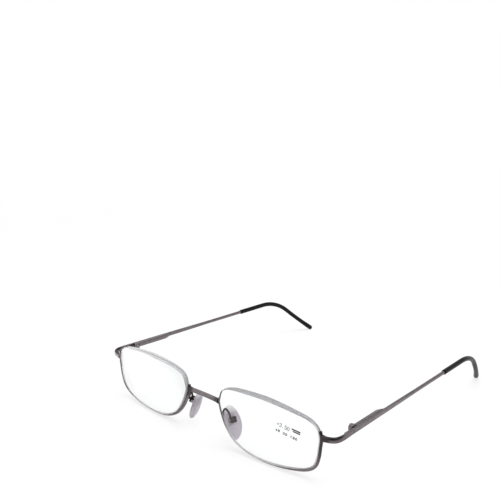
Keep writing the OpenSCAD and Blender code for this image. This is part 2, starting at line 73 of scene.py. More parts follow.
# Sizes that several pieces share
glasses = {"hingeSpan": 127.7, "hingeBack": 16.4, "splay": 2.6, "millimetre": 0.001}
sides = {"left": 1, "right": -1}


def turn(p, axis, degrees):
    # Points turned about axis 0, 1 or 2: u * cos - v * sin and u * sin + v * cos on the two other axes
    a = np.radians(degrees)
    p = np.asarray(p, float)
    turned = p.copy()
    u, v = (axis + 1) % 3, (axis + 2) % 3
    turned[..., u] = p[..., u] * np.cos(a) - p[..., v] * np.sin(a)
    turned[..., v] = p[..., u] * np.sin(a) + p[..., v] * np.cos(a)
    return turned


# The glasses lean on their rims and tips: the hinge joint says by how much, and where the hinge lies
hingePlace = np.array([glasses["hingeSpan"] / 2, glasses["hingeBack"], 0])
foldJoint = next(joint for joint in frame["joints"] if joint["name"] == "left_temple_fold")
tilt = np.degrees(np.arctan2(-foldJoint["axis"][1], foldJoint["axis"][2]))
tableShift = np.array(foldJoint["pos_m"]) / glasses["millimetre"] - turn(hingePlace, 0, tilt)


def toTable(p, side="left"):  # from the glasses' own frame, in mm, to the table, in metres
    return (turn(p, 0, tilt) + tableShift) * glasses["millimetre"] * np.array([sides[side], 1, 1])


def fromHinge(p):  # from the hinge's frame: its screw at zero, y along the temple
    return turn(p, 2, glasses["splay"]) + hingePlace


def unit(v):  # each vector divided by its length
    return v / np.linalg.norm(v, axis=-1, keepdims=True)


def blendValues(a, b, t):  # straight blend from a to b
    return a + (b - a) * t


# Surfaces on a grid

def gridFaces(rows, columns, closedColumns=True):
    # Quads between neighbours of a rows by columns grid; the last column joins the first if closed
    i = np.arange(rows - 1)[:, None] * columns
    j = np.arange(columns if closedColumns else columns - 1)[None, :]
    k = (j + 1) % columns
    return np.stack([i + j, i + k, i + columns + k, i + columns + j], -1).reshape(-1, 4)


def fanFaces(first, columns, pole, flip):
    # Triangles between one row of the grid and a single point
    j = np.arange(columns)
    k = (j + 1) % columns
    ring = np.stack([first + j, first + k, np.full(columns, pole)], -1)
    return ring[:, ::-1] if flip else ring


def makeMesh(name, points, faceArrays, crease):
    # One mesh from an array of points and arrays of faces, turned so that its faces point outwards
    sizes = np.concatenate([np.full(len(f), f.shape[1]) for f in faceArrays])
    corners = np.concatenate([f.ravel() for f in faceArrays])
    triangles = np.concatenate([f[:, [0, k, k + 1]] for f in faceArrays for k in range(1, f.shape[1] - 1)])
    a, b, c = (points[triangles[:, k]] for k in range(3))
    if np.einsum("ij,ij->i", a, np.cross(b, c)).sum() < 0:  # six times the volume
        corners = np.concatenate([f[:, ::-1].ravel() for f in faceArrays])
    mesh = bpy.data.meshes.new(name)
    mesh.vertices.add(len(points))
    mesh.vertices.foreach_set("co", points.astype(np.float32).ravel())
    mesh.loops.add(len(corners))
    mesh.loops.foreach_set("vertex_index", corners.astype(np.int32))
    mesh.polygons.add(len(sizes))
    mesh.polygons.foreach_set("loop_start", np.concatenate([[0], np.cumsum(sizes)[:-1]]).astype(np.int32))
    mesh.update(calc_edges=True)
    mesh.validate()
    mesh.shade_smooth()
    mesh.set_sharp_from_angle(angle=np.radians(crease))
    return mesh


def addPiece(name, mesh, body, slot, replaced, *materials):
    # The piece rides on its body and stands for the node that it replaces
    piece = bpy.data.objects.new(name, mesh)
    bpy.context.scene.collection.objects.link(piece)
    for material in materials:
        mesh.materials.append(material)
    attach(piece, body)
    if replaced:
        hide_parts(replaced)
    return piece


def tubePoints(grid):
    # A grid closed at both ends by one point each, at the middle of its first and last rows
    rows, columns = grid.shape[:2]
    points = np.concatenate([grid.reshape(-1, 3), grid[:1].mean(1), grid[-1:].mean(1)])
    count = rows * columns
    return points, [gridFaces(rows, columns), fanFaces(0, columns, count, True),
                    fanFaces((rows - 1) * columns, columns, count + 1, False)]


def addTube(name, grid, side, crease, body, slot, replaced, *materials):
    # A piece from a grid that is drawn on the left side, in the glasses' own frame
    points, faces = tubePoints(toTable(grid, side))
    return addPiece(name, makeMesh(name, points, faces, crease), body, slot, replaced, *materials)


def carry(path, sideways, upwards, profile):
    # A profile (rows of x, y) carried along a path: path + sideways * x + upwards * y
    profile = np.broadcast_to(profile, (len(path),) + profile.shape[-2:])
    return path[:, None] + sideways[:, None] * profile[..., :1] + upwards[:, None] * profile[..., 1:]


def oval(width, height, square, count):
    # Superellipse: width/2 * cos(a)^(2/square), height/2 * sin(a)^(2/square); 2 is an ellipse
    a = np.linspace(0, 2 * np.pi, count, endpoint=False)
    width, height, square = (np.asarray(v, float)[..., None] for v in (width, height, square))
    x = np.sign(np.cos(a)) * np.abs(np.cos(a)) ** (2 / square)
    y = np.sign(np.sin(a)) * np.abs(np.sin(a)) ** (2 / square)
    return np.stack([x * width / 2, y * height / 2], -1)


def roundedOutline(corners, radius, steps):
    # Each corner of a closed outline replaced by a curve that touches its two sides at the radius away
    corners = np.array(corners, float)
    radius = np.broadcast_to(radius, len(corners))[:, None]
    before = corners + unit(np.roll(corners, 1, 0) - corners) * radius
    after = corners + unit(np.roll(corners, -1, 0) - corners) * radius
    t = np.linspace(0, 1, steps)[None, :, None]
    curve = before[:, None] * (1 - t) ** 2 + corners[:, None] * 2 * t * (1 - t) + after[:, None] * t ** 2
    return curve.reshape(-1, 2)


def bezier(handles, t):
    # Cubic curve through the first and last handle, and its direction
    p = np.array(handles, float)[:, None]
    t = t[:, None]
    s = 1 - t
    place = p[0] * s ** 3 + p[1] * 3 * t * s ** 2 + p[2] * 3 * t ** 2 * s + p[3] * t ** 3
    way = (p[1] - p[0]) * s ** 2 + (p[2] - p[1]) * 2 * t * s + (p[3] - p[2]) * t ** 2
    return place, unit(way)


# The lens outline, which the lens, the rim, the liner and the cord all follow
lensSizes = {
    "width": 49.4, "height": 26.7, "gap": 19.6, "middle": 4.09, "frontRadius": 100, "backRadius": 330,
    "opticShift": 3, "grooveWidth": 0.7, "grooveDepth": 0.5, "lip": 0.05, "lipBevel": 0.06, "wrap": 2.9,
    "lean": 1.9, "drop": 5, "safetyBevel": 0.14, "bevelShare": 0.8, "stepsPerPoint": 12, "faceRows": 22,
    "crease": 25,
}
lensX = (lensSizes["width"] + lensSizes["gap"]) / 2
middleRadius = 2 / (1 / lensSizes["frontRadius"] + 1 / lensSizes["backRadius"])
outlineShares = np.array([  # across and up, as shares of half the lens's width and height
    [0.979, 0.492], [0.907, 0.671], [0.778, 0.793], [0.588, 0.868], [0.302, 0.953], [0, 1.003],
    [-0.305, 0.993], [-0.616, 0.943], [-0.824, 0.846], [-0.937, 0.71], [-0.992, 0.419], [-0.997, 0.265],
    [-0.942, -0.03], [-0.867, -0.309], [-0.772, -0.541], [-0.658, -0.728], [-0.474, -0.889],
    [-0.248, -0.975], [0, -0.993], [0.246, -0.968], [0.493, -0.905], [0.74, -0.8], [0.896, -0.62],
    [0.961, -0.315], [0.987, 0], [1.002, 0.264],
])
outlineCount = len(outlineShares)
rimFirst = 10  # place in the list where the rim starts, at the nose; it ends at the list's end


def outline(s):
    # Point and outward direction at place s of the list: a cubic through four neighbouring points
    i = np.floor(s).astype(int)
    t = (s - i)[:, None]
    a, b, c, d = (outlineShares[(i + k) % outlineCount] for k in (-1, 0, 1, 2))
    second = 2 * a - 5 * b + 4 * c - d
    third = 3 * b - a - 3 * c + d
    size = np.array([lensSizes["width"], lensSizes["height"]]) / 2
    point = (2 * b + (c - a) * t + second * t ** 2 + third * t ** 3) / 2 * size
    way = unit(((c - a) + 2 * second * t + 3 * third * t ** 2) / 2 * size)
    return point, np.stack([way[:, 1], -way[:, 0]], -1)


def sphereBack(p, radius, ahead, shift=lensSizes["opticShift"]):
    # How far back a sphere's face lies at p: radius - ahead - sqrt(radius^2 - x^2 - z^2)
    return radius - ahead - np.sqrt(radius ** 2 - (p[..., 0] + shift) ** 2 - p[..., 1] ** 2)


def lensFront(p):  # depth of the front face
    return sphereBack(p, lensSizes["frontRadius"], lensSizes["middle"] / 2)


def lensBack(p):  # depth of the back face
    return sphereBack(p, lensSizes["backRadius"], -lensSizes["middle"] / 2)


def lensMiddle(p):  # depth of the surface midway between them, which the rim and the groove follow
    return sphereBack(p, middleRadius, 0, 0)


def atDepth(p, back):  # points drawn across and up the lens, set at their depth
    return np.stack([p[..., 0], back, p[..., 1]], -1)


def leanLens(p):  # from the lens's axes to the glasses' axes
    return turn(turn(p, 2, lensSizes["wrap"]), 0, lensSizes["lean"])


def fromLens(p):
    return leanLens(p) + np.array([lensX, 0, -lensSizes["drop"]])


def alongEdge(s, profile):
    # A profile (rows of out, back) carried along the lens's edge
    point, outwards = outline(s)
    profile = np.broadcast_to(profile, (len(s),) + profile.shape[-2:])
    moved = point[:, None] + outwards[:, None] * profile[..., :1]
    return fromLens(atDepth(moved, lensMiddle(point)[:, None] + profile[..., 1]))


print("stage: outline and helpers ready")


# Materials

def linear(code):
    # sRGB hex to linear: (v + 0.055) / 1.055 to the power 2.4, and v / 12.92 for the darkest
    v = np.array([int(code[k:k + 2], 16) for k in (1, 3, 5)]) / 255
    return tuple(np.where(v <= 0.04045, v / 12.92, ((v + 0.055) / 1.055) ** 2.4)) + (1.0,)


def addNode(tree, kind, settings=None, links=None, stops=None, **properties):
    # Adds a shader node and sets its properties, inputs and ramp stops. A link comes from an output, or
    # from the first output of a node; a stop is a place and a hex colour or grey value
    node = tree.nodes.new("ShaderNode" + kind)
    for key, value in properties.items():
        setattr(node, key, value)
    for key, value in (settings or {}).items():
        node.inputs[key].default_value = value
    for key, source in (links or {}).items():
        tree.links.new(source.outputs[0] if isinstance(source, bpy.types.Node) else source, node.inputs[key])
    for k, (place, value) in enumerate(stops or []):
        element = node.color_ramp.elements[k]
        element.position = place
        element.color = linear(value) if isinstance(value, str) else (value, value, value, 1)
    return node


def span(key, ends):  # settings for both ends of what a Map Range node maps From or To
    return {key + " Min": ends[0], key + " Max": ends[1]}


def newMaterial(name):
    # An empty node material and the coordinates that its patterns read, in millimetres
    material = bpy.data.materials.new(name)
    material.use_nodes = True
    tree = material.node_tree
    tree.nodes.clear()
    place = addNode(tree, "TexCoord").outputs["Object"]
    scale = (1 / glasses["millimetre"],) * 3
    return material, tree, addNode(tree, "VectorMath", {1: scale}, {0: place}, operation="MULTIPLY")


gunmetalLook = {
    "plate": [(0.35, "#7d7276"), (0.65, "#888183")], "worn": "#9c9394", "cloud": 2.5, "speck": 0.35,
    "wornShare": [(0.62, 0.0), (0.8, 0.55)], "line": 0.06, "lineStretch": (1, 0.06, 1),
    "roughness": (0.24, 0.4), "bump": (0.25, 0.02), "coat": 0.5,
    # Darker spots: painted shade on the end piece's upper half and down the rim's outer side; the bridge's
    # ends are darker too
    "joints": [  # at the end piece, at the bridge and down the rim's outer side
        {"colour": "#130e10", "place": (63.0, -64.6, 20.8), "scale": (0.5, 0.5, 1.4), "reach": (1.8, 3.0)},
        {"colour": "#453b3f", "place": (9.6, -68.0, 18.2), "scale": (0.8, 0.8, 0.8), "reach": (1.6, 3.6)},
        {"colour": "#40373a", "place": (61.5, -67.0, 12.0), "scale": (1, 0.6, 0.2), "reach": (1.6, 3.4)},
    ],
}
armLook = {**gunmetalLook, "plate": [(0.35, "#282125"), (0.65, "#30282c")], "worn": "#433a3f", "coat": 0.15,
           "joints": []}


def makeGunmetal(name, look):
    # Electroplated gunmetal under clear lacquer: dark purplish grey with soft clouds in the plating,
    # fine polishing lines along the wire, and a crisper gloss from the lacquer
    material, tree, place = newMaterial(name)
    cloud = addNode(tree, "TexNoise", {"Scale": 1 / look["cloud"], "Detail": 3}, {"Vector": place})
    speck = addNode(tree, "TexNoise", {"Scale": 1 / look["speck"], "Detail": 4, "Roughness": 0.65},
                    {"Vector": place})
    stretched = addNode(tree, "VectorMath", {1: look["lineStretch"]}, {0: place}, operation="MULTIPLY")
    lines = addNode(tree, "TexNoise", {"Scale": 1 / look["line"], "Detail": 2}, {"Vector": stretched})
    base = addNode(tree, "ValToRGB", links={"Fac": cloud}, stops=look["plate"])
    worn = addNode(tree, "ValToRGB", links={"Fac": speck}, stops=look["wornShare"])
    colour = addNode(tree, "Mix", {7: linear(look["worn"])}, {0: worn, 6: base}, data_type="RGBA")
    # Painted shade: near black on the end piece's upper half by the rim, and darker down the rim's outer
    # side. Also darker where the bridge meets the rim. Both sides share one pattern
    parts = addNode(tree, "SeparateXYZ", links={0: place})
    out = addNode(tree, "Math", links={0: parts}, operation="ABSOLUTE")
    mirrored = addNode(tree, "CombineXYZ", links={0: out, 1: parts.outputs[1], 2: parts.outputs[2]})
    for joint in look["joints"]:
        offset = addNode(tree, "VectorMath", {1: joint["place"]}, {0: mirrored}, operation="SUBTRACT")
        scaled = addNode(tree, "VectorMath", {1: joint["scale"]}, {0: offset}, operation="MULTIPLY")
        away = addNode(tree, "VectorMath", links={0: scaled}, operation="LENGTH")
        paintedDark = addNode(tree, "MapRange", {**span("From", joint["reach"]), **span("To", (1.0, 0.0))},
                        {"Value": away.outputs["Value"]}, interpolation_type="SMOOTHSTEP")
        colour = addNode(tree, "Mix", {7: linear(joint["colour"])},
                         {0: paintedDark, 6: colour.outputs[2]}, data_type="RGBA")
    rough = addNode(tree, "MapRange", span("To", look["roughness"]), {"Value": speck})
    bump = addNode(tree, "Bump", {"Strength": look["bump"][0],
                   "Distance": look["bump"][1] * glasses["millimetre"]}, {"Height": lines})
    shader = addNode(tree, "BsdfPrincipled", {"Metallic": 1.0, "Coat Weight": look["coat"],
                     "Coat Roughness": 0.06},
                     {"Base Color": colour.outputs[2], "Roughness": rough, "Normal": bump})
    addNode(tree, "OutputMaterial", links={"Surface": shader})
    return material


def clearShader(tree, shader):
    # Lets the lamps through, so that a clear piece throws only a faint shadow
    path = addNode(tree, "LightPath")
    through = addNode(tree, "BsdfTransparent", {"Color": (0.93, 0.93, 0.94, 1)})
    return addNode(tree, "MixShader", links={0: path.outputs["Is Shadow Ray"], 1: shader, 2: through})


edgeLook = {
    "cloud": 0.45, "grit": 12, "gritStretch": (0.08, 1, 0.08), "bump": (0.5, 0.03),
    # The pale colour and its reach across are painted light on the right lens's edge
    "colours": [(0.3, "#9c9c9f"), (0.7, "#b4b4b7")], "fine": "#ececed", "fineReach": (-58.0, 10.0),
    "within": [(0.0, "#77726f"), (1.0, "#dfddde")], "withinReach": (11.5, 16.0),
}


def makeLensEdge(name, look):
    # Cast resin ground on a wheel: matt and frosted grey, with fine lines that run round the edge
    material, tree, place = newMaterial(name)
    cloud = addNode(tree, "TexNoise", {"Scale": look["cloud"], "Detail": 3}, {"Vector": place})
    stretched = addNode(tree, "VectorMath", {1: look["gritStretch"]}, {0: place}, operation="MULTIPLY")
    grit = addNode(tree, "TexNoise", {"Scale": look["grit"], "Detail": 3}, {"Vector": stretched})
    outside = addNode(tree, "ValToRGB", links={"Fac": cloud}, stops=look["colours"])
    # Painted light: the right lens's edge is painted paler, most of all at its outer end
    across = addNode(tree, "SeparateXYZ", links={0: place})
    fine = addNode(tree, "MapRange", {**span("From", look["fineReach"]), **span("To", (1.0, 0.0))},
                   {"Value": across})
    outside = addNode(tree, "Mix", {7: linear(look["fine"])}, {0: fine, 6: outside}, data_type="RGBA")
    # Seen from within the lens the ground face is paler, as light reaches it through the resin too, but
    # not by the nose, where the rim, the pad and the bridge shade it
    out = addNode(tree, "Math", links={0: across}, operation="ABSOLUTE")
    away = addNode(tree, "MapRange", span("From", look["withinReach"]), {"Value": out})
    inside = addNode(tree, "ValToRGB", links={"Fac": away}, stops=look["within"])
    within = addNode(tree, "NewGeometry").outputs["Backfacing"]
    colour = addNode(tree, "Mix", links={0: within, 6: outside.outputs[2], 7: inside}, data_type="RGBA")
    bump = addNode(tree, "Bump", {"Strength": look["bump"][0],
                   "Distance": look["bump"][1] * glasses["millimetre"]}, {"Height": grit})
    shader = addNode(tree, "BsdfPrincipled", {"IOR": 1.5, "Roughness": 0.55,
                     "Transmission Weight": 0.25}, {"Base Color": colour.outputs[2], "Normal": bump})
    addNode(tree, "OutputMaterial", links={"Surface": shader})
    return material


# Materials whose marks come from one noise: its marks per mm and its detail, the colours that it blends,
# the roughness that it swings between, and the strength of its bump and the height in mm
steelLook = {"marks": (1 / 0.12, 4), "colours": [(0.3, "#8f8c8b"), (0.7, "#b9b6b4")], "rough": (0.22, 0.42),
             "bump": (0.2, 0.01), "shader": {"Metallic": 1.0}}
markedLooks = {
    # Turned and nickel plated steel: pale and warm, with fine turning marks that spread the highlight
    "steel_nickel_turned": steelLook,
    # The same steel, ground and left bare: a shade darker
    "steel_ground": {**steelLook, "colours": [(0.3, "#7e7b7a"), (0.7, "#a6a3a2")]},
    # Cast resin lens, polished and hard coated: clear, with a trace of handling haze in its gloss
    "lens_resin_polished": {
        "marks": (0.3, 5), "rough": (0.0, 0.035), "clear": True,
        "shader": {"Base Color": linear("#fdfefe"), "IOR": 1.5, "Transmission Weight": 1.0,
                   "Specular IOR Level": 0.1, "Specular Tint": (0.3, 0.3, 0.3, 1)}},
    # Drawn nylon line: milky, half clear, with a soft gloss and faint drawing marks
    "nylon_drawn": {
        "marks": (1.5, 3), "colours": [(0.3, "#c9cacd"), (0.7, "#dedfe1")], "rough": (0.22, 0.4),
        "bump": (0.2, 0.02), "clear": True, "shader": {"IOR": 1.53, "Transmission Weight": 0.6}},
    # Moulded soft vinyl: half clear with a lavender grey cast, satin, and a very fine orange peel; painted
    # light makes it paler towards its top
    "pad_vinyl_moulded": {
        "marks": (0.4, 3), "colours": [(0.3, "#c2bbc4"), (0.7, "#cfc8d1")], "finish": (3.5, 2),
        "top": "#f2f0f3", "topReach": (11.5, 14.0), "rough": (0.25, 0.4), "bump": (0.15, 0.04),
        "clear": True, "shader": {"IOR": 1.45, "Transmission Weight": 0.5}},
    # Moulded polycarbonate insert: clear and hard, a little greyer than the vinyl round it
    "pad_core_polycarbonate": {
        "marks": (1.2, 2), "colours": [(0.3, "#b9b6bd"), (0.7, "#cbc8ce")], "rough": (0.08, 0.2),
        "clear": True, "shader": {"IOR": 1.58, "Transmission Weight": 0.6}},
    # Dip moulded acetate sleeve: nearly black with a warm cast, glossy, with slight flow marks
    "tip_acetate_moulded": {
        "marks": (0.5, 3), "stretch": (1, 0.15, 1), "colours": [(0.3, "#070606"), (0.7, "#0e0d0d")],
        "rough": (0.14, 0.28), "bump": (0.2, 0.04), "shader": {"IOR": 1.48, "Specular IOR Level": 0.2}},
    # Pad printed ink that wipes off: thin and dark grey, worn through in places
    "ink_pad_printed": {
        "marks": (5, 3), "colours": [(0.35, "#161417"), (0.7, "#403e42")],
        "shader": {"IOR": 1.5, "Roughness": 0.5}},
}


def makeMarked(name, look):
    # The marks blend the colours; they, or a finer noise, drive the roughness and the bump
    material, tree, place = newMaterial(name)
    if "stretch" in look:
        place = addNode(tree, "VectorMath", {1: look["stretch"]}, {0: place}, operation="MULTIPLY")
    noises = [addNode(tree, "TexNoise", {"Scale": scale, "Detail": detail}, {"Vector": place})
              for scale, detail in (look[key] for key in ("marks", "finish") if key in look)]
    marks, finish = noises[0], noises[-1]
    links = {}
    if "colours" in look:
        links["Base Color"] = addNode(tree, "ValToRGB", links={"Fac": marks}, stops=look["colours"])
    # Painted light: paler towards the top
    if "top" in look:
        height = addNode(tree, "SeparateXYZ", links={0: place}).outputs["Z"]
        above = addNode(tree, "MapRange", span("From", look["topReach"]), {"Value": height},
                        interpolation_type="SMOOTHSTEP")
        links["Base Color"] = addNode(tree, "Mix", {7: linear(look["top"])},
                                      {0: above, 6: links["Base Color"]}, data_type="RGBA").outputs[2]
    if "rough" in look:
        links["Roughness"] = addNode(tree, "MapRange", span("To", look["rough"]), {"Value": finish})
    if "bump" in look:
        links["Normal"] = addNode(tree, "Bump", {"Strength": look["bump"][0],
                                  "Distance": look["bump"][1] * glasses["millimetre"]}, {"Height": finish})
    shader = addNode(tree, "BsdfPrincipled", look["shader"], links)
    surface = clearShader(tree, shader) if "clear" in look else shader
    addNode(tree, "OutputMaterial", links={"Surface": surface})
    return material


gunmetal = makeGunmetal("gunmetal_plate_lacquered", gunmetalLook)
armMetal = makeGunmetal("gunmetal_brazed_dark", armLook)
lensEdge = makeLensEdge("lens_edge_ground", edgeLook)
marked = {name: makeMarked(name, look) for name, look in markedLooks.items()}
print("stage: materials made")


# Pieces

def makeLens(side):
    # Front face, bevel, edge with its groove, bevel and back face, as rows that run from pole to pole:
    # face rows are the outline drawn in towards the optical centre, at the height of the sphere there
    size = lensSizes
    point, outwards = outline(np.arange(outlineCount * size["stepsPerPoint"]) / size["stepsPerPoint"])
    centre = np.array([-size["opticShift"], 0.0])
    shrink = np.sin(np.linspace(0, np.pi / 2, size["faceRows"]))[1:, None, None]  # closer near the edge
    face = centre + (point - outwards * size["safetyBevel"] - centre) * shrink
    lip, groove = (point - outwards * size[key] for key in ("lip", "grooveDepth"))
    middle, half, drop = lensMiddle(point), size["grooveWidth"] / 2, size["safetyBevel"] * size["bevelShare"]
    edge = [
        atDepth(point, lensFront(point) + drop), atDepth(point, middle - half - size["lipBevel"]),
        atDepth(lip, middle - half), atDepth(groove, middle - half), atDepth(groove, middle + half),
        atDepth(lip, middle + half), atDepth(point, middle + half + size["lipBevel"]),
        atDepth(point, lensBack(point) - drop),
    ]
    grid = np.concatenate([atDepth(face, lensFront(face)), edge, atDepth(face, lensBack(face))[::-1]])
    piece = addTube("lens_cut_" + side, fromLens(grid), side, size["crease"], "front", "lens",
                    "lens_" + side, marked["lens_resin_polished"], lensEdge)
    slots = np.zeros(len(piece.data.polygons), np.int32)  # what lies between the two faces is ground
    slots[(len(face) - 1) * len(point):(len(face) + len(edge)) * len(point)] = 1
    piece.data.polygons.foreach_set("material_index", slots)


rimSizes = {
    "seat": 0.05, "thick": 1.0, "deep": 1.5, "channelWidth": 0.7, "channelDepth": 0.45, "bevel": 0.28,
    "rounding": 0.19, "steps": 6, "stepsPerPoint": 14, "crease": 40,
}


def rimProfile():
    # The U-channel wire's section: out from the lens, and back
    size = rimSizes
    near, far, back = size["seat"], size["seat"] + size["thick"], size["deep"] / 2
    slot, bottom, bevel = size["channelWidth"] / 2, size["seat"] + size["channelDepth"], size["bevel"]
    half = [[bottom, slot], [near, slot], [near, back - bevel], [near + bevel, back], [far - bevel, back],
            [far, back - bevel]]
    corners = half + [[x, -y] for x, y in reversed(half)]
    radii = np.full(len(corners), size["rounding"])
    radii[[1, 10]] = size["rounding"] / 2  # the channel's two lips are crisper
    return roundedOutline(corners, radii, size["steps"])


def makeRim(side):
    # The wire's section carried along the lens's edge, from the nose round below to the end piece
    steps = rimSizes["stepsPerPoint"]
    s = np.arange(rimFirst * steps, outlineCount * steps + 1) / steps
    addTube("rim_wire_" + side, alongEdge(s, rimProfile()), side, rimSizes["crease"], "front",
            "gunmetal", "rim_" + side, gunmetal)


linerSizes = {"wide": 0.6, "into": 0.45, "outOf": 0.4, "rounding": 0.12, "steps": 4, "crease": 40}


def makeLiner(side):
    # A strip with a rounded rectangular section, carried along the edge inside the rim's channel
    size = linerSizes
    into, outOf, half = size["into"], size["outOf"], size["wide"] / 2
    profile = roundedOutline([[-into, half], [-into, -half], [outOf, -half], [outOf, half]],
                             size["rounding"], size["steps"])
    steps = rimSizes["stepsPerPoint"]
    s = np.arange((rimFirst + 1) * steps, (outlineCount - 1) * steps + 1) / steps
    addTube("rim_liner_strip_" + side, alongEdge(s, profile), side, size["crease"], "front",
            "nylon", "rim_liner_" + side, marked["nylon_drawn"])


cordSizes = {"thick": 0.54, "inside": 0.175, "short": 1 / 3, "sides": 16, "stepsPerPoint": 12, "crease": 40}


def makeCord(side):
    # A round line that lies in the lens's groove and ends inside the rim's channel
    size = cordSizes
    ring = oval(size["thick"], size["thick"], 2, size["sides"]) - np.array([size["inside"], 0])
    s = np.linspace(size["short"] - 1, rimFirst + 1 - size["short"], (rimFirst + 1) * size["stepsPerPoint"])
    addTube("top_cord_line_" + side, alongEdge(s, ring), side, size["crease"], "front", "nylon",
            "top_cord_" + side, marked["nylon_drawn"])


def barRoot(size):
    # Where a bar is brazed on, at its place along the outline, just outside the rim
    point, outwards = outline(np.array([size["place"]]))
    out = rimSizes["seat"] + rimSizes["thick"] * size["rimShare"] + size["seat"]
    return atDepth(point + outwards * out, lensMiddle(point))[0]


bridgeSizes = {
    "place": rimFirst + 0.8, "rimShare": 1, "seat": 0.02, "high": 1.9, "deep": 1.6, "rise": 0.2, "rows": 81,
    "sides": 40, "square": 3, "flare": 0.22, "flareLength": 0.9, "crease": 50,
}


def makeBridge():
    # A bar with a flattened round section; the brazing swells its ends: 1 + flare * exp(-(d/length)^2)
    size = bridgeSizes
    end = fromLens(barRoot(size))
    t = np.linspace(-1, 1, size["rows"])
    line = np.stack([end[0] * t, np.full_like(t, end[1]), end[2] + size["rise"] * (1 - t ** 2)], -1)
    swell = 1 + size["flare"] * np.exp(-((1 - np.abs(t)) * abs(end[0]) / size["flareLength"]) ** 2)
    ring = oval(size["deep"] * swell, size["high"] * swell, size["square"], size["sides"])
    backwards, upwards = (np.broadcast_to(way, line.shape) for way in ([0.0, 1, 0], [0.0, 0, 1]))
    addTube("bridge_bar", carry(line, backwards, upwards, ring), "left", size["crease"], "front",
            "gunmetal", "bridge", gunmetal)


endSizes = {
    "place": outlineCount - 0.8, "rimShare": 1, "seat": 0.02, "high": 2.2, "thick": 1.66, "tipThick": 1.17,
    "firstReach": 7.2, "lastReach": 6.8, "dip": 0.1, "splitBack": -2.7, "barMiddle": 1.75, "barThick": 1.1,
    "square": 3.2, "rows": 90, "sides": 40, "flare": 0.18, "flareLength": 0.9, "crease": 50,
}


def endPath():
    # Cubic curve from the rim, round the corner, to the front of the temple
    size = endSizes
    start = fromLens(barRoot(size))
    stop = fromHinge([size["barMiddle"] - (size["barThick"] - size["tipThick"]) / 2, size["splitBack"], 0])
    first = np.array([start[0] + size["firstReach"], start[1], -size["dip"]])
    last = stop + turn([0, -size["lastReach"], -size["dip"] / 2], 2, glasses["splay"])
    return [start, first, last, stop]


def makeEndPiece(side):
    # A bar that thins towards the hinge, carried along the end path; its root swells as the bridge's does
    size = endSizes
    t = np.linspace(0, 1, size["rows"])
    path, way = bezier(endPath(), t)
    sideways = unit(np.cross(way, [0.0, 0, 1]))
    run = np.concatenate([[0], np.cumsum(np.linalg.norm(np.diff(path, axis=0), axis=1))])
    swell = 1 + size["flare"] * np.exp(-(run / size["flareLength"]) ** 2)
    thick = blendValues(size["thick"], size["tipThick"], t) * swell
    ring = oval(thick, size["high"] * swell, size["square"], size["sides"])
    addTube("end_piece_bar_" + side, carry(path, sideways, np.cross(sideways, way), ring), side,
            size["crease"], "front", "gunmetal", "end_piece_" + side, gunmetal)


templeSizes = {
    "splitBack": -2.45, "barMiddle": 1.75, "barHigh": 2.1, "barThick": 1.1, "wire": 1.6, "straight": 88.6,
    "bendRadius": 27, "bendAngle": 42, "earLength": 22, "tuck": 13.4, "curl": 2, "taperStart": 24,
    "taperEnd": 46, "caseFront": 1.35, "square": 5, "sides": 32, "rows": 140, "wireStop": 5,
    "endRound": 0.18, "endRows": 6, "endShare": 0.97, "crease": 50,
}
templeArc = templeSizes["bendRadius"] * np.radians(templeSizes["bendAngle"])
templeLength = templeSizes["straight"] + templeArc + templeSizes["earLength"]


def capAngles(size):  # from just past the last full row almost to the pole
    return np.linspace(0, np.pi / 2, size["endRows"])[1:] * size["endShare"]


def taper(d, first):  # 0 up to the first place, 1 from the end of the taper
    return np.clip((d - first) / (templeSizes["taperEnd"] - first), 0, 1)


def templePath(d):
    # Place, direction and side at distance d from the hinge: straight, then an arc turned inwards by the
    # tuck angle, then straight again with a curl that grows with the square of the distance
    size = templeSizes
    tuck, bend = np.radians(size["tuck"]), np.radians(size["bendAngle"])
    down = np.array([-np.sin(tuck), 0, -np.cos(tuck)])
    inwards = np.array([-np.cos(tuck), 0, np.sin(tuck)])
    angle = np.clip(d - size["straight"], 0, templeArc)[:, None] / size["bendRadius"]
    rest = np.maximum(d - size["straight"] - templeArc, 0)[:, None]
    back = (np.minimum(d, size["straight"])[:, None] + size["bendRadius"] * np.sin(angle)
            + rest * np.cos(bend))
    drop = size["bendRadius"] * (1 - np.cos(angle)) + rest * np.sin(bend)
    curl = size["curl"] / size["earLength"] ** 2
    place = np.array([size["barMiddle"], 0, 0]) + back * np.array([0, 1, 0]) + drop * down
    place = place + curl * rest ** 2 * inwards
    way = unit(np.cos(angle) * np.array([0, 1.0, 0]) + np.sin(angle) * down + 2 * curl * rest * inwards)
    sideways = unit(blendValues(np.array([1.0, 0, 0]), -inwards, taper(d, size["taperStart"])[:, None]))
    return place, way, unit(sideways - way * np.sum(sideways * way, -1, keepdims=True))


